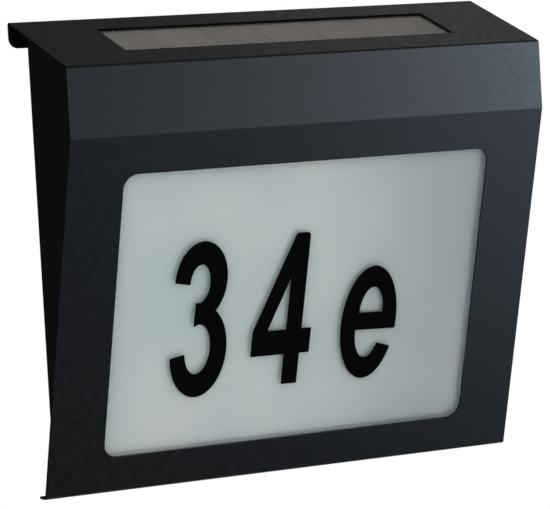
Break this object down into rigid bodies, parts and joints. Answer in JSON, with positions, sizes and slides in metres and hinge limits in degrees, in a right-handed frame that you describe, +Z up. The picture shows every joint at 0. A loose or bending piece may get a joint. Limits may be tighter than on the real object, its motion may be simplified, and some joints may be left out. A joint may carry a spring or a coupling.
{
  "type": "illuminated house number sign",
  "caption": "Wall-hung illuminated house number sign: folded sheet cover with sloping top solar panel and a leaning backlit number window.",
  "frame": {"origin": "midway between the two screw holes of the wall bracket, on the wall plane", "axes": "+X along the width, to the right as seen from the front; +Y into the wall; +Z up"},
  "size_m": [0.21, 0.052, 0.1852],
  "materials": {
    "powder_coated_steel": "matt anthracite powder coat with a fine texture",
    "clear_acrylic": "polished clear acrylic",
    "opal_acrylic": "translucent opal acrylic",
    "black_foil": "matt black self-adhesive foil",
    "white_moulding": "satin moulded white plastic",
    "grey_moulding": "satin moulded grey plastic",
    "zinc_plated_steel": "bright zinc plate",
    "foam_seal": "closed-cell foam tape",
    "rubber_pad": "soft black rubber",
    "circuit_board": "green solder mask over glass laminate",
    "white_circuit_board": "white solder mask",
    "led_package": "yellow phosphor under clear resin",
    "cell_sleeve": "shrink sleeve over a steel can",
    "nickel_contact": "nickel-plated spring strip",
    "black_component": "moulded epoxy",
    "capacitor_can": "bare aluminium can",
    "solar_glass": "clear moulded cover with a raised middle",
    "solar_film": "thin brown photovoltaic film in narrow strips",
    "lead_insulation": "pvc insulation"
  },
  "bodies": {
    "bracket": {"wall_bracket": "zinc_plated_steel"},
    "sign": {"cover_shell": "powder_coated_steel", "side_cheek_left": "powder_coated_steel", "side_cheek_right": "powder_coated_steel", "pane_seal": "foam_seal", "number_pane": "clear_acrylic", "pane_spacer": "white_moulding", "opal_diffuser": "opal_acrylic", "figure_three": "black_foil", "figure_four": "black_foil", "letter_e": "black_foil", "light_box": "white_moulding", "face_studs": "zinc_plated_steel", "stud_washers": "zinc_plated_steel", "stud_nuts": "zinc_plated_steel", "lip_screws": "zinc_plated_steel", "wall_pads": "rubber_pad", "led_board": "white_circuit_board", "led_chips": "led_package", "led_board_screws": "zinc_plated_steel", "electronics_tray": "grey_moulding", "tray_screws": "zinc_plated_steel", "battery_cell_lower": "cell_sleeve", "battery_cell_upper": "cell_sleeve", "battery_end_contacts": "nickel_contact", "battery_bridge_contact": "nickel_contact", "control_board": "circuit_board", "control_chip": "black_component", "charging_coil": "black_component", "buffer_capacitor": "capacitor_can", "switch_body": "nickel_contact", "board_screws": "zinc_plated_steel", "board_cover": "grey_moulding", "board_cover_screws": "zinc_plated_steel", "solar_seal": "foam_seal", "solar_glass": "solar_glass", "solar_film": "solar_film", "panel_clips": "zinc_plated_steel", "solar_leads": "lead_insulation", "led_leads": "lead_insulation", "battery_leads": "lead_insulation"},
    "battery_lid": {"battery_door": "grey_moulding"},
    "knob": {"switch_knob": "black_component"}
  },
  "joints": [
    {"name": "sign_lift", "type": "slide", "parent": "bracket", "child": "sign", "axis": [0, 0, 1], "range_m": [0, 0.008]},
    {"name": "battery_lid_slide", "type": "slide", "parent": "sign", "child": "battery_lid", "axis": [-1, 0, 0], "range_m": [0, 0.05]},
    {"name": "switch_slide", "type": "slide", "parent": "sign", "child": "knob", "axis": [1, 0, 0], "range_m": [0, 0.003]}
  ]
}
